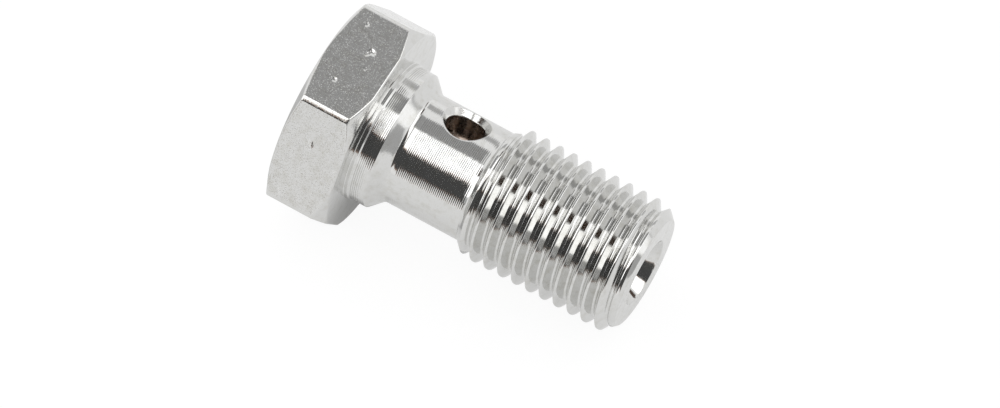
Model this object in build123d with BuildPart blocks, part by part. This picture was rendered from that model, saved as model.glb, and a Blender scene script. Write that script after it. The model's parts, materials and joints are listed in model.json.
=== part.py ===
from build123d import *
import os
from math import atan2, cos, radians, sin, tan

os.makedirs("parts", exist_ok=True)

# Banjo bolt, 3/8-24 UNF, turned from hexagon bar. Millimetres, angles in degrees.
# Heights along the bolt count from the bearing face of the head towards the tip.

# head
across_flats = 14.2
head_height = 4.65
corner_radius = 0.4
bearing_chamfer_angle = 35
crown_chamfer_angle = 25
bearing_overlap = 0.1
crown_land = 0.1

# collar under the head with its thicker foot, and the cone down to the shank
collar_diameter = 9.9
collar_length = 1.5
collar_foot_diameter = 10.1
collar_foot_length = 0.28
foot_shoulder_angle = 45
cone_angle = 45

# shank
shank_diameter = 8.0
length_under_head = 20.15

# thread: its depth, crest flat and sunk foot go with the pitch
thread_diameter = 9.525
thread_pitch = 25.4 / 24
thread_angle = 60
depth_of_pitch = 0.6134
crest_of_pitch = 0.125
sink_of_pitch = 0.1
thread_start = 8.05
first_crest = 0.17
spigot_sink = 0.5
lead_angle = 45
tip_diameter = 7.9
tip_chamfer_angle = 45
trim_margin = 1

# oil bore along the bolt with its countersunk mouth, and the hole across it
bore_diameter = 3.9
bore_mouth_diameter = 4.85
countersink_angle = 60
bore_end = 3.4
drill_point_angle = 118
cross_hole_diameter = 2.7
cross_hole_height = 5.3
cross_hole_turn = -28
cross_hole_chamfer = 0.35

# worked out
flat_radius = across_flats / 2
corner_reach = flat_radius / cos(radians(30))
bearing_radius = flat_radius + bearing_overlap
crown_radius = flat_radius - crown_land
bearing_drop = (corner_reach - bearing_radius) * tan(radians(bearing_chamfer_angle))
crown_drop = (corner_reach - crown_radius) * tan(radians(crown_chamfer_angle))
collar_radius = collar_diameter / 2
foot_radius = collar_foot_diameter / 2
foot_shoulder = collar_foot_length + (foot_radius - collar_radius) / tan(radians(foot_shoulder_angle))
shank_radius = shank_diameter / 2
cone_top = collar_length + (collar_radius - shank_radius) / tan(radians(cone_angle))
thread_radius = thread_diameter / 2
root_radius = thread_radius - depth_of_pitch * thread_pitch
tip_radius = tip_diameter / 2
bore_radius = bore_diameter / 2
bore_mouth_radius = bore_mouth_diameter / 2
bore_mouth_depth = (bore_mouth_radius - bore_radius) / tan(radians(countersink_angle / 2))
bore_point = bore_end - bore_radius / tan(radians(drill_point_angle / 2))
cross_hole_plane = Plane(
    origin=(0, 0, cross_hole_height),
    x_dir=(0, 0, 1),
    z_dir=(cos(radians(cross_hole_turn)), sin(radians(cross_hole_turn)), 0),
)

# The ridge starts a turn below the first crest and ends a turn past the tip, inside its core.
ridge_bottom = thread_start - (1 - first_crest) * thread_pitch
ridge_top = length_under_head + thread_pitch
core_bottom = ridge_bottom - thread_pitch
core_top = ridge_top + thread_pitch
ridge_base = root_radius - sink_of_pitch * thread_pitch
crest_flat = crest_of_pitch * thread_pitch
spigot_radius = min(shank_radius, root_radius) - spigot_sink
ridge_foot = crest_flat + 2 * (thread_radius - ridge_base) * tan(radians(thread_angle / 2))

# Both trimming cuts reach outside the thread by this much.
trim_radius = thread_radius + trim_margin
lead_end = thread_start + (trim_radius - shank_radius) / tan(radians(lead_angle))
tip_chamfer_start = length_under_head - (trim_radius - tip_radius) / tan(radians(tip_chamfer_angle))

# Collar, shank and thread. The bearing face of the head is the XY plane.
with BuildPart() as threaded_shank:
    # thread core, and the right-hand ridge swept around it
    with BuildSketch(Plane.XY.offset(core_bottom)):
        Circle(root_radius)
    extrude(amount=core_top - core_bottom)
    with BuildLine() as thread_path:
        Helix(thread_pitch, ridge_top - ridge_bottom, root_radius, center=(0, 0, ridge_bottom))
    with BuildSketch(Plane.XZ):
        with BuildLine():
            Polyline(
                (ridge_base, ridge_bottom - ridge_foot / 2),
                (thread_radius, ridge_bottom - crest_flat / 2),
                (thread_radius, ridge_bottom + crest_flat / 2),
                (ridge_base, ridge_bottom + ridge_foot / 2),
                close=True,
            )
        make_face()
    sweep(path=thread_path.line, is_frenet=True)

    # lead cone, on which the first crest grows out of the shank, and a spigot that goes into the shank
    with BuildSketch(Plane.XZ):
        with BuildLine():
            Polyline(
                (spigot_radius, core_bottom),
                (spigot_radius, thread_start),
                (shank_radius, thread_start),
                (trim_radius, lead_end),
                (trim_radius, core_bottom),
                close=True,
            )
        make_face()
    revolve(axis=Axis.Z, mode=Mode.SUBTRACT)

    # tip chamfer and end face
    with BuildSketch(Plane.XZ):
        with BuildLine():
            Polyline(
                (0, length_under_head),
                (tip_radius, length_under_head),
                (trim_radius, tip_chamfer_start),
                (trim_radius, core_top),
                (0, core_top),
                close=True,
            )
        make_face()
    revolve(axis=Axis.Z, mode=Mode.SUBTRACT)

    # collar, cone and plain shank, in one turned outline
    with BuildSketch(Plane.XZ):
        with BuildLine():
            Polyline(
                (0, -head_height / 2),
                (foot_radius, -head_height / 2),
                (foot_radius, collar_foot_length),
                (collar_radius, foot_shoulder),
                (collar_radius, collar_length),
                (shank_radius, cone_top),
                (shank_radius, thread_start),
                (0, thread_start),
                close=True,
            )
        make_face()
    revolve(axis=Axis.Z)

# Head: a hexagon with both rims chamfered. The flat that will face up looks along +X.
with BuildPart() as head:
    with BuildSketch(Plane.XY.offset(-head_height)) as hexagon:
        RegularPolygon(flat_radius, 6, major_radius=False, rotation=30)
        fillet(hexagon.vertices(), corner_radius)
    extrude(amount=head_height)
    with BuildSketch(Plane.XZ):
        with BuildLine():
            Polyline(
                (0, -head_height),
                (crown_radius, -head_height),
                (corner_reach, crown_drop - head_height),
                (corner_reach, -bearing_drop),
                (bearing_radius, 0),
                (0, 0),
                close=True,
            )
        make_face()
    revolve(axis=Axis.Z, mode=Mode.INTERSECT)

# Whole bolt, still upright.
with BuildPart() as upright:
    add(threaded_shank.part)
    add(head.part)

    # hole across the shank, through both walls, with its two mouths broken
    with BuildSketch(cross_hole_plane):
        Circle(cross_hole_diameter / 2)
    extrude(amount=collar_radius, both=True, mode=Mode.SUBTRACT)
    chamfer(upright.edges(Select.LAST), cross_hole_chamfer)

    # blind bore from the tip, with its countersink and the cone that the drill leaves
    with BuildSketch(Plane.XZ):
        with BuildLine():
            Polyline(
                (0, bore_point),
                (bore_radius, bore_end),
                (bore_radius, length_under_head - bore_mouth_depth),
                (bore_mouth_radius, length_under_head),
                (0, length_under_head),
                close=True,
            )
        make_face()
    revolve(axis=Axis.Z, mode=Mode.SUBTRACT)

# The bolt can't stand unheld, so it lies on one flat's rim and on the last full crest.
crest_end = length_under_head - (thread_radius - tip_radius) / tan(radians(tip_chamfer_angle))
tip_down = atan2(flat_radius - thread_radius, crest_end)
lying = Plane(
    origin=(0, 0, 0),
    x_dir=(sin(tip_down), 0, cos(tip_down)),
    z_dir=(cos(tip_down), 0, -sin(tip_down)),
)
with BuildPart() as lowered:
    with Locations(lying.location):
        add(upright.part)
box = lowered.part.bounding_box()
with BuildPart() as banjo_bolt:
    with Locations((-box.center().X, -box.center().Y, -box.min.Z)):
        add(lowered.part)
banjo_bolt.part.label = "banjo_bolt"
export_step(banjo_bolt.part, "parts/banjo_bolt.step")
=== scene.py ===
import json
from math import cos, pi, radians, sin, sqrt, tan

import bmesh
import bpy
import numpy as np
from bpy.props import FloatProperty, FloatVectorProperty, PointerProperty
from mathutils import Matrix, Vector


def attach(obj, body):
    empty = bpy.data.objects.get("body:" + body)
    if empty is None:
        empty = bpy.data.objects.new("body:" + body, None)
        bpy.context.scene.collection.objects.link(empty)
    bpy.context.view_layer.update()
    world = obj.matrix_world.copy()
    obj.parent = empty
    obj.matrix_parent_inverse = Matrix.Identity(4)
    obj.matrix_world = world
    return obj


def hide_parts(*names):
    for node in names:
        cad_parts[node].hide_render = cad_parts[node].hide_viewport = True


bl_info = {
    "name": "Banjo Bolt",
    "version": (1, 0, 0),
    "blender": (4, 5, 0),
    "location": "View3D > Sidebar > Banjo Bolt",
    "description": "Builds a chromed banjo bolt on its packed frame, with a studio around it",
    "category": "Add Mesh",
}

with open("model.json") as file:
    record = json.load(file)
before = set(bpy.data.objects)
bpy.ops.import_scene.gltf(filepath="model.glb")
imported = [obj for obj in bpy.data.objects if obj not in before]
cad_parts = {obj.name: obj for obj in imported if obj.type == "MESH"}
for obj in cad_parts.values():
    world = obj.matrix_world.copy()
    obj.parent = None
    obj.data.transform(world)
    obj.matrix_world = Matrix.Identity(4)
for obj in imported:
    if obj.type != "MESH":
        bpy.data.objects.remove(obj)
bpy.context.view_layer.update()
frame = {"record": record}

MM = 0.001
NODE = "banjo_bolt"


def mount(name):
    """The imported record's mount of that name."""
    return next(m for m in frame["record"]["mounts"] if m["name"] == name)


# The mesh is made upright in millimetres: its Z runs from the head's bearing face to the tip,
# and its X points out of the flat that faces up. This matrix lays it down where the CAD bolt lies.
AXIS = Vector(mount("thread")["axis"]).normalized()
UP = Vector((-AXIS.z, 0.0, AXIS.x))
SIDE = AXIS.cross(UP)
HOLE_HEIGHT = 5.3
ORIGIN = Vector(mount("cross_hole")["pos_m"]) - AXIS * HOLE_HEIGHT * MM
LYING = Matrix((
    (UP.x, SIDE.x, AXIS.x, ORIGIN.x),
    (UP.y, SIDE.y, AXIS.y, ORIGIN.y),
    (UP.z, SIDE.z, AXIS.z, ORIGIN.z),
    (0.0, 0.0, 0.0, 1.0),
))


def length(name, description, millimetres):
    return FloatProperty(name=name, description=description, default=millimetres * MM,
                         min=0.0, unit="LENGTH", precision=5)


def angle(name, description, degrees):
    return FloatProperty(name=name, description=description, default=radians(degrees), unit="ROTATION")


def share(name, description, value, low, high):
    return FloatProperty(name=name, description=description, default=value, min=low, max=high)


def colour(name, description, value):
    return FloatVectorProperty(name=name, description=description, default=value,
                               size=3, min=0.0, max=1.0, subtype="COLOR")


def level(name, description, value, top=10.0):
    return FloatProperty(name=name, description=description, default=value, min=0.0, max=top)


class BoltSizes(bpy.types.PropertyGroup):
    across_flats: length("Across flats", "Width of the hexagon across two flats", 14.2)
    head_height: length("Head height", "Height of the hexagon head", 4.65)
    corner_land: length("Corner land", "Width of the blunt strip on each of the hexagon's corners", 0.24)
    corner_soft: length("Corner rounding", "Rounding at both sides of that strip", 0.2)
    bearing_radius: length("Bearing radius", "Radius of the bearing face inside its chamfer", 7.2)
    bearing_angle: angle("Bearing chamfer", "Angle of the chamfer on the bearing side", 35)
    crown_radius: length("Crown radius", "Radius of the crown inside its chamfer", 7.0)
    crown_angle: angle("Crown chamfer", "Angle of the chamfer on the crown side", 25)
    rim_soft: length("Rim rounding", "Rounding of the edges between the flats and the chamfers", 0.2)
    foot_diameter: length("Foot diameter", "Diameter of the ring at the collar's foot", 10.1)
    foot_length: length("Foot length", "Length of the ring at the collar's foot", 0.28)
    collar_diameter: length("Collar diameter", "Diameter of the collar under the head", 9.9)
    collar_length: length("Collar length", "Length of the collar", 1.5)
    cone_top: length("Cone end", "Height at which the cone meets the shank", 2.45)
    cone_hollow: length("Cone hollow", "Hollow rounding between the cone and the shank", 1.1)
    shank_diameter: length("Shank diameter", "Diameter of the plain shank", 8.0)
    length_under_head: length("Length", "Length under the head", 20.15)
    thread_diameter: length("Thread diameter", "Diameter over the thread's crests", 9.525)
    thread_pitch: length("Pitch", "Distance from crest to crest", 25.4 / 24)
    thread_start: length("Thread start", "Height at which the thread starts", 8.05)
    root_share: share("Root rounding", "Radius of the thread's root, in pitches", 0.1443, 0.05, 0.2)
    depth_share: share("Thread depth", "Depth of the thread, in pitches", 0.6134, 0.3, 0.8)
    first_share: share("First crest", "Where the first crest passes the upper flat, in pitches", 0.17, 0.0, 1.0)
    tip_diameter: length("Tip diameter", "Diameter of the end face", 7.9)
    bore_diameter: length("Bore diameter", "Diameter of the oil bore", 3.9)
    mouth_diameter: length("Mouth diameter", "Diameter of the oil bore's countersunk mouth", 4.85)
    mouth_angle: angle("Countersink angle", "Angle of the countersink across its mouth", 60)
    bore_end: length("Bore end", "Height at which the oil bore ends", 3.4)
    drill_angle: angle("Drill angle", "Point angle of the cone at the bore's end", 118)
    hole_diameter: length("Cross hole", "Diameter of the hole across the shank", 2.7)
    hole_turn: angle("Cross hole turn", "Turn of the cross hole from the upper flat", -28)
    hole_chamfer: length("Cross hole chamfer", "Width of the broken edge of the cross hole", 0.35)
    hole_sink: length("Cross hole bevel", "Depth of the broken edge of the cross hole", 0.5)
    edge_soft: length("Edge rounding", "Rounding of the turned edge between the collar and the cone", 0.08)


class FinishSettings(bpy.types.PropertyGroup):
    chrome: colour("Chrome", "Colour of the bright plating", (0.70, 0.70, 0.69))
    shade: colour("Worn chrome", "Colour of the plating where it is dull", (0.56, 0.55, 0.51))
    bore: colour("Bore", "Colour of the unplated steel inside the holes", (0.44, 0.39, 0.35))
    stain: colour("Bore stain", "Colour of the stain inside the holes", (0.44, 0.29, 0.19))
    gloss: level("Roughness", "Roughness of the clean plating", 0.09, 1.0)


class StudioSettings(bpy.types.PropertyGroup):
    floor_colour: colour("Floor", "Colour of the plain floor", (0.83, 0.83, 0.83))
    room: level("Room level", "Brightness of the pale room around", 1.03)
    lens: FloatProperty(name="Lens", description="Focal length of the camera", default=432.0, unit="CAMERA")


class Rings:
    """A mesh made of rings of points in millimetres, joined by faces of a named finish."""

    def __init__(self):
        self.points = []
        self.faces = []
        self.finishes = []
        self.count = 0

    def add(self, points):
        """Adds points and gives their numbers."""
        points = np.asarray(points, dtype=float)
        numbers = np.arange(self.count, self.count + len(points))
        self.points.append(points)
        self.count += len(points)
        return numbers

    def face(self, corners, finish):
        self.faces.append(tuple(int(corner) for corner in corners))
        self.finishes.append(finish)

    def join(self, lower, upper, finish, skip=None):
        """Faces between two closed rings of the same count, but for the columns in skip."""
        count = len(lower)
        for j in range(count):
            if skip is None or not skip[j]:
                k = (j + 1) % count
                self.face((lower[j], lower[k], upper[k], upper[j]), finish)

    def stack(self, rings, finish):
        """Faces between each ring and the next."""
        for lower, upper in zip(rings, rings[1:]):
            self.join(lower, upper, finish)

    def fan(self, ring, centre, finish):
        """Triangles from a closed ring to a point in its middle."""
        for a, b in zip(ring, np.roll(ring, -1)):
            self.face((b, a, centre), finish)

    def seam(self, lower, lower_turns, upper, upper_turns, finish):
        """Triangles between two closed rings whose points stand at other turns, both rising."""
        i, j, m, n = 0, 0, len(lower), len(upper)
        while i < m or j < n:
            next_lower = lower_turns[i + 1] if i + 1 < m else lower_turns[0] + 2 * pi
            next_upper = upper_turns[j + 1] if j + 1 < n else upper_turns[0] + 2 * pi
            a, b = lower[i % m], upper[j % n]
            if j >= n or (i < m and next_lower <= next_upper):
                self.face((a, lower[(i + 1) % m], b), finish)
                i += 1
            else:
                self.face((a, upper[(j + 1) % n], b), finish)
                j += 1


def ring_points(turns, radius, height):
    radius = np.broadcast_to(radius, turns.shape)
    height = np.broadcast_to(height, turns.shape)
    return np.stack([radius * np.cos(turns), radius * np.sin(turns), height], axis=1)


# Rows in a rounding, and the largest share of the stretches beside it that a rounding takes.
ARC_STEPS = 4
ROUNDING_SHARE = 0.45


def outline_rows(corners, steps, arc_steps=ARC_STEPS):
    """Rows of (radius, height) along an outline.

    corners holds (radius, height, rounding) for each corner, with one value or one for each column.
    steps gives into how many rows each stretch between two roundings is divided.
    """
    columns = max(np.size(value) for corner in corners for value in corner)
    places = [np.stack([np.broadcast_to(np.asarray(value, float), columns) for value in corner[:2]], 1)
              for corner in corners]
    rows, last = [], places[0]
    for k in range(1, len(places)):
        goal, arc = places[k], []
        if k < len(places) - 1 and corners[k][2] > 0:
            back, ahead = places[k - 1] - goal, places[k + 1] - goal
            back_size = np.linalg.norm(back, axis=1, keepdims=True)
            ahead_size = np.linalg.norm(ahead, axis=1, keepdims=True)
            back, ahead = back / back_size, ahead / ahead_size
            half = np.arccos(np.clip((back * ahead).sum(1, keepdims=True), -1, 1)) / 2
            room = ROUNDING_SHARE * np.minimum(back_size, ahead_size)
            reach = np.minimum(corners[k][2] / np.tan(half), room)
            for f in np.linspace(0, 1, arc_steps + 1):
                arc.append(goal + (1 - f) ** 2 * reach * back + f ** 2 * reach * ahead)
            goal = arc[0]
        for step in range(steps[k - 1]):
            rows.append(last + (goal - last) * step / steps[k - 1])
        rows.extend(arc[:-1])
        last = arc[-1] if arc else goal
    rows.append(last)
    return rows


def corner_shape(s):
    """Reach of a hexagon corner's blunt strip, and where its two roundings start and end, from the corner."""
    half = s["corner_land"] / 2
    outer = half + s["corner_soft"] * tan(pi / 12)
    reach = (s["across_flats"] / 2 - outer * sin(pi / 6)) / cos(pi / 6)
    start = np.arctan2(half, reach)
    end = np.arctan2(half + s["corner_soft"] * sin(pi / 6), reach - s["corner_soft"] * (1 - cos(pi / 6)))
    return reach, start, end


def hexagon_radius(turns, s):
    """Distance from the axis to a hexagon with blunt corners, one flat looking along X."""
    reach, start, end = corner_shape(s)
    soft, half = s["corner_soft"], s["corner_land"] / 2
    gap = np.abs(turns % (pi / 3) - pi / 6)
    size, lean = np.hypot(reach - soft, half), np.arctan2(half, reach - soft)
    rounded = size * np.cos(gap - lean) + np.sqrt(np.maximum(soft ** 2 - (size * np.sin(gap - lean)) ** 2, 0))
    straight = s["across_flats"] / 2 / np.cos(pi / 6 - gap)
    return np.where(gap < start, reach / np.cos(gap), np.where(gap < end, rounded, straight))


# The two flats that show most, the columns on each of them, on another flat and on a corner's rounding,
# and the gap between a flat's last column and its corner, in degrees.
SHOWN_FLATS = (0, 1)
SHOWN_FLAT_COLUMNS = 84
FLAT_COLUMNS = 26
CORNER_COLUMNS = 5
CORNER_GAP = 0.25


def head_turns(s):
    """Turns of the head's columns: close together over the two flats that show most, and at the corners."""
    _, start, end = corner_shape(s)
    arc = np.linspace(start, end, CORNER_COLUMNS)
    corner = np.concatenate([-arc[::-1], [0.0], arc])
    edge = pi / 6 - end - radians(CORNER_GAP)
    turns = []
    for flat in range(6):
        middle = flat * pi / 3
        columns = SHOWN_FLAT_COLUMNS if flat in SHOWN_FLATS else FLAT_COLUMNS
        turns.append(middle + np.linspace(-edge, edge, columns))
        turns.append(middle + pi / 6 + corner)
    return np.concatenate(turns)


# Knocks on the two flats that face up and forwards: flat, place across it, height, size, length, lean, depth.
DENTS = (
    (0, -1.26, -1.84, 0.11, 0.26, 55, 0.075),
    (0, -1.00, -2.08, 0.09, 0.24, -40, 0.070),
    (0, -2.89, -3.23, 0.11, 0.17, 15, 0.060),
    (0, 0.05, -1.67, 0.10, 0.15, 20, 0.050),
    (0, 1.82, -2.97, 0.12, 0.14, 0, 0.070),
    (0, -3.42, -1.02, 0.08, 0.12, 30, 0.035),
    (0, -1.34, -3.75, 0.08, 0.10, 0, 0.030),
    (0, -1.93, -3.67, 0.08, 0.10, 0, 0.030),
    (0, -1.73, -0.36, 0.08, 0.16, 70, 0.035),
    (1, -1.45, -2.44, 0.12, 0.40, 8, 0.085),
    (1, -0.17, -0.30, 0.08, 0.11, 0, 0.025),
    (1, 2.15, -1.28, 0.08, 0.12, 0, 0.025),
    (1, 3.05, -3.40, 0.06, 0.50, 20, 0.025),
)

# A knock moves points at least this far out towards its flat, and ends at this many times its size.
FLAT_OUT = 6.9
DENT_END = 3


def dent_flats(points):
    """Pushes the knocks into the flats."""
    for flat, across, height, size, reach, lean, depth in DENTS:
        out = np.array([cos(flat * pi / 3), sin(flat * pi / 3), 0.0])
        along = np.array([-out[1], out[0], 0.0])
        x = points @ along - across
        y = points[:, 2] - height
        c, s = cos(radians(lean)), sin(radians(lean))
        spread = ((x * c + y * s) / reach) ** 2 + ((y * c - x * s) / size) ** 2
        near = (points @ out > FLAT_OUT) & (spread < DENT_END ** 2)
        points[near] -= out * (depth * np.exp(-spread[near]))[:, None]
    return points


# The head's outline: radii of its first and last ring, roundings of the crown's and the bearing face's rim,
# least width of the bearing chamfer, and the rows between the outline's corners.
CROWN_RING = 2.0
BEARING_RING = 5.9
CROWN_SOFT = 0.3
BEARING_SOFT = 0.1
LEAST_CHAMFER = 0.12
HEAD_STEPS = (6, 6, 44, 3, 4)


def build_head(mesh, s, turns):
    """The hexagon head, from the middle of its crown to a ring on its bearing face."""
    hexagon = hexagon_radius(turns, s)
    crown_rise = (hexagon - s["crown_radius"]) * tan(s["crown_angle"])
    rim = np.minimum(hexagon - LEAST_CHAMFER, s["bearing_radius"])
    bearing_drop = (hexagon - rim) * tan(s["bearing_angle"])
    rows = outline_rows([
        (CROWN_RING, -s["head_height"], 0),
        (s["crown_radius"], -s["head_height"], CROWN_SOFT),
        (hexagon, crown_rise - s["head_height"], s["rim_soft"]),
        (hexagon, -bearing_drop, s["rim_soft"]),
        (rim, 0, BEARING_SOFT),
        (BEARING_RING, 0, 0),
    ], HEAD_STEPS)
    rings = [mesh.add(dent_flats(ring_points(turns, row[:, 0], row[:, 1]))) for row in rows]
    mesh.fan(rings[0], mesh.add([(0, 0, -s["head_height"])])[0], "faced")

    # The flats run from the middle of the rounding at one rim to the middle of that at the other.
    first = sum(HEAD_STEPS[:2]) + ARC_STEPS + ARC_STEPS // 2
    last = len(rings) - 1 - sum(HEAD_STEPS[3:]) - ARC_STEPS - ARC_STEPS // 2
    for i, (lower, upper) in enumerate(zip(rings, rings[1:])):
        mesh.join(lower, upper, "flats" if first <= i < last else "faced")
    return rings[-1]


# Columns around the shaft, and how many of them lie on each side of a mouth of the cross hole.
COLUMNS = 208
HALF_BLOCK = 28

# The rings around a mouth, and how much closer together they lie towards it.
MOUTH_RINGS = 9
MOUTH_CROWDING = 1.35

# The cross hole's blocks end at this height, on the shank and in the bore.
BLOCK_TOP = 7.6


def started_at(numbers, turns, first):
    """A ring and its rising turns, rolled so that they start at the first turn."""
    start = int(np.argmin((turns - first) % (2 * pi)))
    return np.roll(numbers, -start), first + (np.roll(turns, -start) - first) % (2 * pi)


def pierced_tube(mesh, s, rings, radius, rim, finish):
    """Joins a tube's rings, left open at the two mouths of the cross hole.

    The faces around a mouth run from the block's border to its rim. Gives each mouth's middle turn,
    and its rim with the directions of the rim's points around the hole.
    """
    skip = np.zeros(COLUMNS, bool)
    mouths = []
    for side in (0, 1):
        middle = s["hole_turn"] + side * pi
        centre = round(middle / (2 * pi) * COLUMNS)
        columns = np.arange(centre - HALF_BLOCK, centre + HALF_BLOCK + 1) % COLUMNS
        skip[columns[:-1]] = True
        border = [*rings[0][columns], *(ring[columns[-1]] for ring in rings[1:]),
                  *rings[-1][columns[-2::-1]], *(ring[columns[0]] for ring in rings[-2:0:-1])]
        place = np.concatenate(mesh.points)[border]
        turn = np.arctan2(place[:, 1], place[:, 0])
        across = ((turn - middle + pi) % (2 * pi) - pi) * radius
        up = place[:, 2] - s["hole_height"]
        direction = np.arctan2(up, across)
        rim_across = np.arcsin(rim * np.cos(direction) / radius) * radius
        rim_up = rim * np.sin(direction)
        patch = [np.array(border)]
        for step in np.linspace(0, 1, MOUTH_RINGS + 1)[1:]:
            f = 1 - (1 - step) ** MOUTH_CROWDING
            patch.append(mesh.add(ring_points(middle + (across + (rim_across - across) * f) / radius, radius,
                                              s["hole_height"] + up + (rim_up - up) * f)))
        mesh.stack(patch, finish)
        mouths.append((middle, patch[-1], direction))
    for lower, upper in zip(rings, rings[1:]):
        mesh.join(lower, upper, finish, skip)
    return mouths


# The neck's outline: radius of its first ring, roundings of the foot's rim, edge and shoulder, the plain
# stretch above the cone, the rows between the outline's corners and in a rounding, and the shank's rings.
NECK_RING = 5.6
FOOT_RIM_SOFT = 0.06
FOOT_EDGE_SOFT = 0.05
SHOULDER_SOFT = 0.08
ABOVE_CONE = 0.45
NECK_STEPS = (2, 2, 1, 6, 4, 2)
NECK_ARC_STEPS = 5
SHANK_RINGS = 24


def build_neck(mesh, s, turns, head_ring, head_columns):
    """Collar with its foot, cone and plain shank, from the bearing face to the thread."""
    foot, collar, shank = s["foot_diameter"] / 2, s["collar_diameter"] / 2, s["shank_diameter"] / 2
    shoulder_top = s["foot_length"] + foot - collar
    shank_from = s["cone_top"] + ABOVE_CONE
    rows = outline_rows([
        (NECK_RING, 0, 0),
        (foot, 0, FOOT_RIM_SOFT),
        (foot, s["foot_length"], FOOT_EDGE_SOFT),
        (collar, shoulder_top, SHOULDER_SOFT),
        (collar, s["collar_length"], s["edge_soft"]),
        (shank, s["cone_top"], s["cone_hollow"]),
        (shank, shank_from, 0),
    ], NECK_STEPS, NECK_ARC_STEPS)
    rings = [mesh.add(ring_points(turns, row[:, 0], row[:, 1])) for row in rows]
    head_ring, head_columns = started_at(head_ring, head_columns, 0.0)
    mesh.seam(head_ring, head_columns, rings[0], turns, "faced")
    for row, lower, upper in zip(rows, rings, rings[1:]):
        on_collar = shoulder_top < row[0, 1] < s["collar_length"] - s["edge_soft"]
        mesh.join(lower, upper, "turned" if on_collar else "faced")
    tube = [rings[-1]]
    for height in np.linspace(shank_from, BLOCK_TOP, SHANK_RINGS + 1)[1:]:
        tube.append(mesh.add(ring_points(turns, shank, height)))
    mouths = pierced_tube(mesh, s, tube, shank, s["hole_diameter"] / 2 + s["hole_chamfer"], "turned")
    return tube[-1], mouths


# Rows of one turn of thread, in pitches from its crest: close together on the crest's edges and in the root.
THREAD_ROWS = (-0.46, -0.42, -0.39, -0.365, -0.09, -0.0625, -0.035, 0.0,
               0.035, 0.0625, 0.09, 0.365, 0.39, 0.42, 0.46, 0.5)

# How softly the crest, and the cuts at the thread's lead and at the tip, round it off, in millimetres.
CREST_EASE = 0.012
CUT_EASE = 0.02

# The thread's level rings lie this far below its start and below the tip.
BELOW_START = 0.06
BELOW_TIP = 0.12

# Its rows start this many turns below the first crest, and so many turns more than its length are made.
TURNS_BELOW = 2
SPARE_TURNS = 4


def soft_minimum(value, limit, ease):
    return -ease * np.logaddexp(-value / ease, -limit / ease)


def thread_radius(s, height, turns):
    """Distance from the axis to the thread's surface: rounded root, flat crest, cut by lead and chamfer."""
    pitch, crest = s["thread_pitch"], s["thread_diameter"] / 2
    bottom, soft = crest - s["depth_share"] * pitch, s["root_share"] * pitch
    phase = (height - s["thread_start"]) / pitch - s["first_share"] - turns / (2 * pi)
    from_root = pitch * (0.5 - np.abs(phase - np.round(phase)))
    hollow = bottom + soft - np.sqrt(np.maximum(soft ** 2 - from_root ** 2, 0))
    flank = bottom + soft * (1 - cos(pi / 3)) + (from_root - soft * sin(pi / 3)) / tan(pi / 6)
    surface = np.where(from_root < soft * sin(pi / 3), hollow, flank)
    lead = s["shank_diameter"] / 2 + np.maximum(height - s["thread_start"], 0)
    chamfer = s["tip_diameter"] / 2 + s["length_under_head"] - height
    for limit, ease in ((crest, CREST_EASE), (lead, CUT_EASE), (chamfer, CUT_EASE)):
        surface = soft_minimum(surface, limit, ease)
    return surface


def build_thread(mesh, s, turns, start):
    """The thread, whose rows climb one pitch a turn between two level rings."""
    pitch = s["thread_pitch"]
    low, high = s["thread_start"] - BELOW_START, s["length_under_head"] - BELOW_TIP
    bottom, top = (mesh.add(ring_points(turns, thread_radius(s, np.full(COLUMNS, height), turns), height))
                   for height in (low, high))
    mesh.join(start, bottom, "turned")
    first = s["thread_start"] + (s["first_share"] - TURNS_BELOW) * pitch
    rows = []
    for k in range(int((high - low) / pitch) + SPARE_TURNS):
        for row in THREAD_ROWS:
            height = np.clip(first + (k + row + turns / (2 * pi)) * pitch, low, high)
            rows.append(mesh.add(ring_points(turns, thread_radius(s, height, turns), height)))
    a_turn = len(THREAD_ROWS)
    for i, (lower, upper) in enumerate(zip(rows, rows[1:])):
        for j in range(COLUMNS - 1):
            mesh.face((lower[j], lower[j + 1], upper[j + 1], upper[j]), "rolled")
        if i + 1 + a_turn < len(rows):
            mesh.face((lower[-1], rows[i + a_turn][0], rows[i + 1 + a_turn][0], upper[-1]), "rolled")
    return top


# The bore's outline: roundings of the tip's and the mouth's rim and of the countersink's end, the plain
# stretch below the countersink and above the bore's end, and the rows between the outline's corners.
TIP_SOFT = 0.05
MOUTH_SOFT = 0.05
SINK_SOFT = 0.1
BELOW_SINK = 0.4
ABOVE_BORE_END = 0.15
BORE_STEPS = (1, 6, 6, 1)

# The bore's rings above the cross hole's blocks and within them.
UPPER_BORE_RINGS = 13
LOWER_BORE_RINGS = 19

# Rings down the cross hole's bevel, down its wall and down the drill's cone, as shares of the way or width.
BEVEL_RINGS = (0.04, 0.12, 0.35, 0.65, 0.9, 1.0)
WALL_RINGS = (0.03, 0.1, 0.4, 0.7, 1.0)
DRILL_RINGS = (0.97, 0.6, 0.3, 0.1)

# The cross hole's bevel is hammered: waves around it, with their phase and their height in millimetres.
HAMMER_WAVES = ((5, 0.8, 0.035), (9, 2.1, 0.02))


def hole_ring(mesh, s, middle, direction, radius, reach):
    """A ring around the cross hole's axis, each point at its own reach from the bolt's axis."""
    across, up = radius * np.cos(direction), radius * np.sin(direction) + s["hole_height"]
    return mesh.add(np.stack([reach * cos(middle) - across * sin(middle),
                              reach * sin(middle) + across * cos(middle), up], 1))


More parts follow.
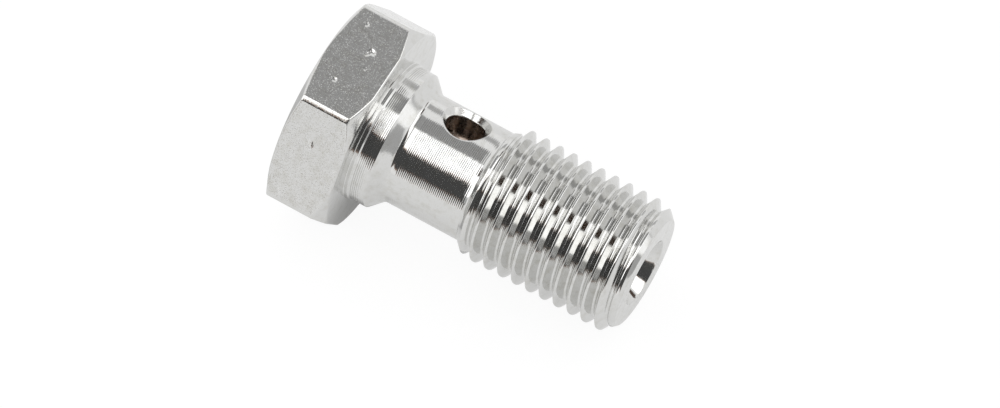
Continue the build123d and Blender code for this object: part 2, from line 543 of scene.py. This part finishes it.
def build_bore(mesh, s, turns, start, mouths):
    """End face, countersunk oil bore with the cone that the drill left, and the cross hole's walls."""
    tip, bore, mouth = s["tip_diameter"] / 2, s["bore_diameter"] / 2, s["mouth_diameter"] / 2
    end = s["length_under_head"]
    sunk = end - (mouth - bore) / tan(s["mouth_angle"] / 2)
    outer = np.hypot(*np.concatenate(mesh.points)[start][:, :2].T)
    rows = outline_rows([
        (outer, end - BELOW_TIP, 0),
        (tip, end, TIP_SOFT),
        (mouth, end, MOUTH_SOFT),
        (bore, sunk, SINK_SOFT),
        (bore, sunk - BELOW_SINK, 0),
    ], BORE_STEPS)
    rings = [start] + [mesh.add(ring_points(turns, row[:, 0], row[:, 1])) for row in rows[1:]]
    mouth_from = sum(BORE_STEPS[:2]) + ARC_STEPS
    mesh.stack(rings[:mouth_from + 1], "faced")
    mesh.stack(rings[mouth_from:-2], "sunk")
    mesh.stack(rings[-3:], "bored")
    for height in np.linspace(sunk - BELOW_SINK, BLOCK_TOP, UPPER_BORE_RINGS + 1)[1:]:
        rings.append(mesh.add(ring_points(turns, bore, height)))
        mesh.join(rings[-2], rings[-1], "bored")
    tube = [rings[-1]]
    for height in np.linspace(BLOCK_TOP, s["bore_end"] + ABOVE_BORE_END, LOWER_BORE_RINGS + 1)[1:]:
        tube.append(mesh.add(ring_points(turns, bore, height)))
    inner_mouths = pierced_tube(mesh, s, tube, bore, s["hole_diameter"] / 2, "bored")
    build_cross_hole(mesh, s, mouths, inner_mouths)

    depth = bore / tan(s["drill_angle"] / 2)
    rings = [tube[-1], mesh.add(ring_points(turns, bore, s["bore_end"]))]
    for f in DRILL_RINGS:
        rings.append(mesh.add(ring_points(turns, bore * f, s["bore_end"] - depth * (1 - f))))
    mesh.stack(rings, "bored")
    mesh.fan(rings[-1][::-1], mesh.add([(0, 0, s["bore_end"] - depth)])[0], "bored")


def build_cross_hole(mesh, s, mouths, inner_mouths):
    """The cross hole's two hammered bevels, and its walls between the shank and the bore."""
    shank, bore, hole = s["shank_diameter"] / 2, s["bore_diameter"] / 2, s["hole_diameter"] / 2
    rim = hole + s["hole_chamfer"]
    for (middle, outer_rim, direction), (_, inner_rim, inner_direction) in zip(mouths, inner_mouths):
        rim_reach = np.sqrt(shank ** 2 - (rim * np.cos(direction)) ** 2)
        wall_reach = np.sqrt(shank ** 2 - (hole * np.cos(direction)) ** 2) - s["hole_sink"]
        bore_reach = np.sqrt(bore ** 2 - (hole * np.cos(direction)) ** 2)
        hammered = sum(np.sin(direction * waves + phase) * height for waves, phase, height in HAMMER_WAVES)
        wall = [outer_rim]
        for f in BEVEL_RINGS:
            wave = hammered * sin(pi * f)
            wall.append(hole_ring(mesh, s, middle, direction, rim + (hole - rim) * f + wave,
                                  rim_reach + (wall_reach - rim_reach) * f + wave))
        for f in WALL_RINGS:
            reach = wall_reach + (bore_reach - wall_reach) * f
            wall.append(hole_ring(mesh, s, middle, direction, hole, reach))
        mesh.stack(wall[:len(BEVEL_RINGS) + 1], "bevelled")
        mesh.stack(wall[len(BEVEL_RINGS):], "bored")
        mesh.seam(*started_at(wall[-1], direction, -pi),
                  *started_at(inner_rim[::-1], inner_direction[::-1], -pi), "bored")


def sizes_in_mm(group):
    """The lengths in millimetres, the angles in radians, and the shares as they are."""
    values = {"hole_height": HOLE_HEIGHT}
    for name in group.__annotations__:
        plain_value = name.endswith(("_angle", "_turn", "_share"))
        values[name] = getattr(group, name) / (1 if plain_value else MM)
    return values


class Nodes:
    """Short calls that add and link the nodes of one material."""

    def __init__(self, name):
        self.material = bpy.data.materials.new(name)
        self.material.use_nodes = True
        self.material.cycles.emission_sampling = "NONE"
        self.tree = self.material.node_tree
        self.tree.nodes.clear()
        self.output = self.add("ShaderNodeOutputMaterial")

    def add(self, kind, settings=None, **inputs):
        node = self.tree.nodes.new(kind)
        for name, value in (settings or {}).items():
            setattr(node, name, value)
        for name, value in inputs.items():
            self.put(node, name.replace("_", " "), value)
        return node

    def put(self, node, name, value):
        """Gives an input, by its name or number, a value or a link."""
        socket = node.inputs[int(name)] if name.isdigit() else node.inputs[name]
        if isinstance(value, bpy.types.NodeSocket):
            self.tree.links.new(value, socket)
        else:
            socket.default_value = value

    def math(self, operation, a, b=0.0, clamp=False):
        node = self.add("ShaderNodeMath", {"operation": operation, "use_clamp": clamp})
        self.put(node, "0", a)
        self.put(node, "1", b)
        return node.outputs[0]

    def scaled(self, vector, scale):
        node = self.add("ShaderNodeVectorMath", {"operation": "MULTIPLY"})
        self.put(node, "0", vector)
        self.put(node, "1", scale)
        return node.outputs[0]

    def noise(self, vector, scale, detail=2.0, rough=0.5):
        node = self.add("ShaderNodeTexNoise", Vector=vector, Scale=scale, Detail=detail, Roughness=rough)
        return node.outputs["Fac"]

    def ramp(self, value, low, high, low_out=0.0, high_out=1.0):
        """A soft step from low_out to high_out while the value goes from low to high."""
        node = self.add("ShaderNodeMapRange", {"interpolation_type": "SMOOTHSTEP"})
        for name, number in zip(("1", "2", "3", "4"), (low, high, low_out, high_out)):
            self.put(node, name, number)
        self.put(node, "0", value)
        return node.outputs[0]

    def blend(self, factor, a, b):
        node = self.add("ShaderNodeMix", {"data_type": "RGBA"})
        self.put(node, "0", factor)
        self.put(node, "6", a)
        self.put(node, "7", b)
        return node.outputs[2]

    def bump(self, height, distance, normal=None):
        node = self.add("ShaderNodeBump", Height=height, Distance=distance, Strength=1.0)
        if normal is not None:
            self.put(node, "Normal", normal)
        return node.outputs[0]

    def finish(self, shader):
        self.tree.links.new(shader.outputs[0], self.output.inputs["Surface"])
        return self.material


def rgba(value):
    return (*value, 1.0)


# The finishes. Depths in millimetres of turning lines, fine grain, slow waves and specks; mottle is how much
# the flecks dull the surface, gloss its own roughness, and bare leaves off the plating.
MARKS = {
    "flats": {"grain": 0.0016, "waves": 0.004, "specks": 0.0035, "mottle": 0.8},
    "faced": {"grain": 0.0012, "waves": 0.003},
    "turned": {"lines": 0.0062, "grain": 0.0012, "waves": 0.002},
    "rolled": {"grain": 0.0008, "waves": 0.001},
    "bevelled": {"grain": 0.006, "waves": 0.012, "gloss": 0.12},
    "sunk": {"grain": 0.0012, "waves": 0.003},
    "bored": {"grain": 0.006, "waves": 0.020, "gloss": 0.26, "bare": True},
}

# The noises behind the marks: lumps in a millimetre, detail and roughness.
CLOUD_NOISE = (1.6, 4.0, 0.6)
FLECK_NOISE = (10.0, 3.0, 0.7)
WAVE_NOISE = (0.7, 2.0)
STRAY_NOISE = (2.5, 2.0)
FADE_NOISE = (2.0, 2.0)
GRAIN_NOISE = (7.0, 3.0, 0.65)
SPECK_NOISE = (13.0, 2.0, 0.6)

# Between which two levels of its noise a mark comes up, and for the fading lines from and to what strength.
CLOUD_RAMP = (0.42, 0.75)
FLECK_RAMP = (0.48, 0.72)
FADE_RAMP = (0.3, 0.6, 0.4, 0.55)
SPECK_RAMP = (0.56, 0.72)

# Distance of the turning lines in millimetres, and how far they stray, in radians of a line.
LINE_PITCH = 0.135
LINE_STRAY = 2.0

# How much the clouds dull the surface, and how much clouds and flecks roughen it.
CLOUD_DULL = 0.5
CLOUD_ROUGH = 0.05
FLECK_ROUGH = 0.04


def chrome(name, look, lines=0.0, grain=0.0, waves=0.0, specks=0.0, mottle=0.25,
           gloss=None, bare=False):
    """Bright plating over a machined surface, with that surface's marks, or the bare steel inside the holes."""
    n = Nodes("chrome_" + name)
    upright = LYING.inverted()
    place = n.add("ShaderNodeMapping", Vector=n.add("ShaderNodeTexCoord").outputs["Object"],
                  Location=upright.translation, Rotation=upright.to_euler())
    mm = n.scaled(place.outputs[0], (1 / MM, 1 / MM, 1 / MM))
    cloud = n.ramp(n.noise(mm, *CLOUD_NOISE), *CLOUD_RAMP)
    fleck = n.ramp(n.noise(mm, *FLECK_NOISE), *FLECK_RAMP)

    normal = n.bump(n.noise(mm, *WAVE_NOISE), waves * MM)
    if lines:
        split = n.add("ShaderNodeSeparateXYZ", Vector=mm)
        turn = n.math("ARCTAN2", split.outputs[1], split.outputs[0])
        phase = n.math("ADD", n.math("MULTIPLY", split.outputs[2], 2 * pi / LINE_PITCH), turn)
        phase = n.math("ADD", phase, n.math("MULTIPLY", n.noise(mm, *STRAY_NOISE), LINE_STRAY))
        strength = n.ramp(n.noise(mm, *FADE_NOISE), *FADE_RAMP)
        normal = n.bump(n.math("MULTIPLY", n.math("SINE", phase), strength), lines * MM, normal)
    normal = n.bump(n.noise(mm, *GRAIN_NOISE), grain * MM, normal)
    if specks:
        normal = n.bump(n.ramp(n.noise(mm, *SPECK_NOISE), *SPECK_RAMP), specks * MM, normal)

    dull = n.math("ADD", n.math("MULTIPLY", cloud, CLOUD_DULL), n.math("MULTIPLY", fleck, mottle), True)
    rough = n.math("ADD", n.math("MULTIPLY", cloud, CLOUD_ROUGH), n.math("MULTIPLY", fleck, FLECK_ROUGH))
    bright, worn = (look.bore, look.stain) if bare else (look.chrome, look.shade)
    gloss = look.gloss if gloss is None else gloss
    return n.finish(n.add("ShaderNodeBsdfPrincipled", Base_Color=n.blend(dull, rgba(bright), rgba(worn)),
                          Metallic=1.0, Roughness=n.math("ADD", rough, gloss), Normal=normal))


# Points closer than the first distance become one, and slivers thinner than the second go, in millimetres.
SAME_POINT = 0.002
SLIVER = 0.0005

# How strongly the larger faces set the shading at an edge, out of 100.
FACE_WEIGHT = 100


class BuildBanjoBolt(bpy.types.Operator):
    """Builds the bolt's fine mesh and its chrome"""
    bl_idname = "banjo_bolt.build_bolt"
    bl_label = "Build Banjo Bolt"

    def execute(self, context):
        scene = context.scene
        sizes = sizes_in_mm(scene.banjo_bolt_sizes)
        mesh = Rings()
        head_columns = head_turns(sizes)
        head_ring = build_head(mesh, sizes, head_columns)
        turns = np.arange(COLUMNS) * 2 * pi / COLUMNS
        ring, mouths = build_neck(mesh, sizes, turns, head_ring, head_columns)
        ring = build_thread(mesh, sizes, turns, ring)
        build_bore(mesh, sizes, turns, ring, mouths)

        upright = np.concatenate(mesh.points) * MM
        points = upright @ np.array(LYING.to_3x3()).T + np.array(LYING.translation)
        data = bpy.data.meshes.new("chromed_bolt")
        data.from_pydata(points.tolist(), [], mesh.faces)
        names = list(MARKS)
        data.polygons.foreach_set("material_index", [names.index(finish) for finish in mesh.finishes])
        for name, marks in MARKS.items():
            data.materials.append(chrome(name, scene.banjo_bolt_finish, **marks))

        shape = bmesh.new()
        shape.from_mesh(data)
        bmesh.ops.remove_doubles(shape, verts=shape.verts, dist=SAME_POINT * MM)
        bmesh.ops.dissolve_degenerate(shape, dist=SLIVER * MM, edges=shape.edges)
        shape.to_mesh(data)
        shape.free()
        data.shade_smooth()

        bolt = bpy.data.objects.new("chromed_bolt", data)
        scene.collection.objects.link(bolt)
        weighted = bolt.modifiers.new("weighted_normals", "WEIGHTED_NORMAL")
        weighted.weight = FACE_WEIGHT
        weighted.mode = "FACE_AREA_WITH_ANGLE"
        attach(bolt, "root")
        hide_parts(NODE)
        return {"FINISHED"}


# What the chrome mirrors. Each card has its brightness, its tint and its columns: how far the column's
# direction leans along the bolt (the cosine), and its lowest and highest turn from the upper flat in degrees.
# The window's sill and lintel are so many degrees wide, and a card has so many points in each column.
PLAIN, BROWN = (1.0, 1.0, 1.0), (1.0, 0.62, 0.42)
WINDOW = ((-0.54, 46, 91), (-0.38, 38, 91), (-0.186, 36.5, 79), (0.05, 33, 70),
          (0.30, 18, 74), (0.56, 10, 86), (0.75, -4, 74), (0.88, -18, 56))
WINDOW_FRAME = 2.5
CARD_POINTS = 6
CARDS = (
    ("dark_window", 0.075, PLAIN, WINDOW),
    ("window_sill", 0.30, BROWN, tuple((lean, high, high + WINDOW_FRAME) for lean, low, high in WINDOW)),
    ("window_lintel", 0.34, BROWN, tuple((lean, low - WINDOW_FRAME, low) for lean, low, high in WINDOW)),
    ("soft_panel", 1.95, PLAIN, ((-0.53, -9, 42), (-0.35, -9, 36), (-0.186, -9, 34), (-0.06, -9, 32))),
    ("grey_wall", 0.38, PLAIN, ((-0.46, -40, -9), (-0.186, -40, -9), (-0.06, -40, -9))),
    ("pale_wall", 0.50, PLAIN, ((-0.60, -74, -60), (-0.186, -74, -60), (0.12, -74, -60))),
    ("right_gap", 0.14, PLAIN, ((-0.05, -8, 32), (0.08, -8, 28))),
    ("right_wall", 0.24, PLAIN, ((-0.05, -40, -9), (0.20, -40, -9))),
    ("fillet_panel", 1.8, PLAIN, ((0.09, -8, 27), (0.34, -8, 13), (0.37, -34, 11), (0.56, -36, 6))),
    ("mouth_panel", 2.2, PLAIN, ((0.57, -60, 4), (0.66, -60, -1), (0.76, -56, -8))),
    ("mouth_post", 0.07, BROWN, ((0.44, -84, -67), (0.56, -82, -66))),
    ("side_panel", 1.30, PLAIN, ((0.84, -72, -38), (0.90, -72, -34), (0.96, -72, -30))),
    ("end_wall", 0.62, PLAIN, ((0.73, -92, -75), (0.83, -92, -75))),
    ("key_panel", 2.1, PLAIN, ((-0.92, 12, 66), (-0.80, 13, 69), (-0.70, 13, 69), (-0.56, 14, 62))),
    ("key_stand", 0.05, BROWN, ((-0.85, -10, 11), (-0.70, -10, 12), (-0.56, -12, 13))),
    ("key_wall", 0.50, PLAIN, ((-0.80, 70, 92), (-0.70, 70, 92), (-0.56, 63, 92))),
    ("far_post", 0.05, BROWN, ((0.25, -54, -40), (0.43, -60, -42), (0.52, -64, -46))),
)

# A low grey step on the floor beyond the tip: the points of its foot, its height in metres and its brightness.
STEP_FOOT = ((0.075, -0.035), (0.09, -0.01), (0.09, 0.012))
STEP_HEIGHT = 0.025
STEP_LIGHT = 0.46

# The floor: half its width, its own light and its colour for the camera, and both in the chrome. In the chrome
# its light is darker under the head, a painted shadow at the first of the two lights. The second, the open
# floor's, begins between the two places along X, and between the two distances from the bolt's middle line, all
# in metres.
FLOOR_HALF = 3
SEEN_LIGHT = 0.90
SEEN_COLOUR = (0.12, 0.12, 0.12)
MIRRORED_LIGHT_PAINTED_SHADOW_AND_OPEN = (0.14, 0.46)
MIRRORED_COLOUR = (0.45, 0.45, 0.45)
PAINTED_SHADOW_ALONG = (-0.0078, -0.0062)
PAINTED_SHADOW_ASIDE = (0.0042, 0.0075)

# The camera's directions and its place in metres, at the photograph's viewing angle, the width of its sensor
# in millimetres, and the range that it sees in metres.
CAMERA_RIGHT = Vector((0.86602208, 0.49831825, -0.04104486))
CAMERA_DOWN = Vector((0.40748076, -0.75095736, -0.51963687))
CAMERA_AHEAD = Vector((-0.28976748, 0.43329201, -0.85340075))
CAMERA_PLACE = Vector((0.231984, -0.3447205, 0.6836652))
SENSOR_WIDTH = 36.0
NEAREST, FARTHEST = 0.01, 20.0


def glowing(name, strength, tint):
    n = Nodes(name)
    return n.finish(n.add("ShaderNodeEmission", Color=rgba(tint), Strength=strength))


def stage_piece(name, points, faces, material, shown=False):
    """A floor or card of the stage. Only reflections see a card."""
    data = bpy.data.meshes.new(name)
    data.from_pydata([tuple(p) for p in points], [], faces)
    data.materials.append(material)
    piece = bpy.data.objects.new(name, data)
    bpy.context.scene.collection.objects.link(piece)
    piece.visible_camera = piece.visible_diffuse = piece.visible_shadow = shown


def build_floor(studio):
    """Floor: white for the camera, pale in the chrome, with the bolt's shadow in both, and in the chrome a
    painted shadow under the head.
    """
    n = Nodes("studio_floor")
    path = n.add("ShaderNodeLightPath")
    seen = path.outputs["Is Camera Ray"]
    mirrored = n.math("MAXIMUM", path.outputs["Is Glossy Ray"], path.outputs["Is Transmission Ray"])
    place = n.add("ShaderNodeSeparateXYZ", Vector=n.add("ShaderNodeTexCoord").outputs["Object"])
    # The floor's own light in the chrome, lowered under the head as a painted shadow.
    mirrored_glow_with_painted_shadow = n.math("MAXIMUM",
                  n.ramp(place.outputs[0], *PAINTED_SHADOW_ALONG, *MIRRORED_LIGHT_PAINTED_SHADOW_AND_OPEN),
                  n.ramp(n.math("ABSOLUTE", place.outputs[1]), *PAINTED_SHADOW_ASIDE, *MIRRORED_LIGHT_PAINTED_SHADOW_AND_OPEN))
    glow = n.math("ADD", n.math("MULTIPLY", seen, SEEN_LIGHT), n.math("MULTIPLY", mirrored, mirrored_glow_with_painted_shadow))
    cover = n.blend(mirrored, rgba(studio.floor_colour), rgba(MIRRORED_COLOUR))
    cover = n.blend(seen, cover, rgba(SEEN_COLOUR))
    floor = n.add("ShaderNodeAddShader")
    n.put(floor, "0", n.add("ShaderNodeBsdfDiffuse", Color=cover).outputs[0])
    n.put(floor, "1", n.add("ShaderNodeEmission", Strength=glow).outputs[0])
    half = FLOOR_HALF
    corners = [(-half, -half, 0), (half, -half, 0), (half, half, 0), (-half, half, 0)]
    stage_piece("studio_floor", corners, [(0, 1, 2, 3)], n.finish(floor), shown=True)


def build_room(scene, studio):
    """Room: an even pale light."""
    world = bpy.data.worlds.new("studio_room")
    scene.world = world
    world.use_nodes = True
    back = world.node_tree.nodes["Background"]
    back.inputs["Strength"].default_value = studio.room
    back.inputs["Color"].default_value = rgba(PLAIN)


def sky_card(name, strength, tint, columns):
    """A card about a metre from the bolt, bent around it."""
    points = []
    for lean, low, high in columns:
        for turn in np.radians(np.linspace(low, high, CARD_POINTS)):
            out = UP * cos(turn) + SIDE * sin(turn)
            points.append(ORIGIN + AXIS * lean + out * sqrt(1 - lean ** 2))
    faces = [(i, i + CARD_POINTS, i + CARD_POINTS + 1, i + 1)
             for j in range(len(columns) - 1) for i in range(j * CARD_POINTS, (j + 1) * CARD_POINTS - 1)]
    stage_piece(name, points, faces, glowing(name, strength, tint))


def build_step():
    """The grey step beyond the tip."""
    points = [(x, y, z) for z in (0, STEP_HEIGHT) for x, y in STEP_FOOT]
    stage_piece("grey_step", points, [(0, 1, 4, 3), (1, 2, 5, 4)], glowing("grey_step", STEP_LIGHT, PLAIN))


def build_camera(scene, studio):
    """Camera: the photograph's viewing angle."""
    camera = bpy.data.cameras.new("studio_camera")
    camera.lens = studio.lens
    camera.sensor_width = SENSOR_WIDTH
    camera.sensor_fit = "HORIZONTAL"
    camera.clip_start, camera.clip_end = NEAREST, FARTHEST
    holder = bpy.data.objects.new("studio_camera", camera)
    holder.matrix_world = Matrix((
        (CAMERA_RIGHT.x, -CAMERA_DOWN.x, -CAMERA_AHEAD.x, CAMERA_PLACE.x),
        (CAMERA_RIGHT.y, -CAMERA_DOWN.y, -CAMERA_AHEAD.y, CAMERA_PLACE.y),
        (CAMERA_RIGHT.z, -CAMERA_DOWN.z, -CAMERA_AHEAD.z, CAMERA_PLACE.z),
        (0, 0, 0, 1),
    ))
    scene.collection.objects.link(holder)
    scene.camera = holder


class BuildStudio(bpy.types.Operator):
    """Builds the floor, the room's light, the cards and the camera"""
    bl_idname = "banjo_bolt.build_studio"
    bl_label = "Build Studio"

    def execute(self, context):
        scene = context.scene
        studio = scene.banjo_bolt_studio
        scene.view_settings.view_transform = "Standard"
        build_floor(studio)
        build_room(scene, studio)
        for name, strength, tint, columns in CARDS:
            sky_card(name, strength, tint, columns)
        build_step()
        build_camera(scene, studio)
        return {"FINISHED"}


class BanjoBoltPanel(bpy.types.Panel):
    """Lists the bolt's and the studio's operators"""
    bl_idname = "VIEW3D_PT_banjo_bolt"
    bl_label = "Banjo Bolt"
    bl_space_type = "VIEW_3D"
    bl_region_type = "UI"
    bl_category = "Banjo Bolt"

    def draw(self, context):
        for operator in OPERATORS:
            self.layout.operator(operator.bl_idname)
        for group in (context.scene.banjo_bolt_sizes, context.scene.banjo_bolt_finish,
                      context.scene.banjo_bolt_studio):
            box = self.layout.box()
            for name in group.__annotations__:
                box.prop(group, name)


OPERATORS = (BuildBanjoBolt, BuildStudio)
CLASSES = (BoltSizes, FinishSettings, StudioSettings, *OPERATORS, BanjoBoltPanel)


def register():
    for cls in CLASSES:
        bpy.utils.register_class(cls)
    bpy.types.Scene.banjo_bolt_sizes = PointerProperty(type=BoltSizes)
    bpy.types.Scene.banjo_bolt_finish = PointerProperty(type=FinishSettings)
    bpy.types.Scene.banjo_bolt_studio = PointerProperty(type=StudioSettings)


def unregister():
    del bpy.types.Scene.banjo_bolt_studio
    del bpy.types.Scene.banjo_bolt_finish
    del bpy.types.Scene.banjo_bolt_sizes
    for cls in reversed(CLASSES):
        bpy.utils.unregister_class(cls)


def main():
    register()
    for operator in OPERATORS:
        group, call = operator.bl_idname.split(".")
        getattr(getattr(bpy.ops, group), call)()


if __name__ == "__main__":
    main()
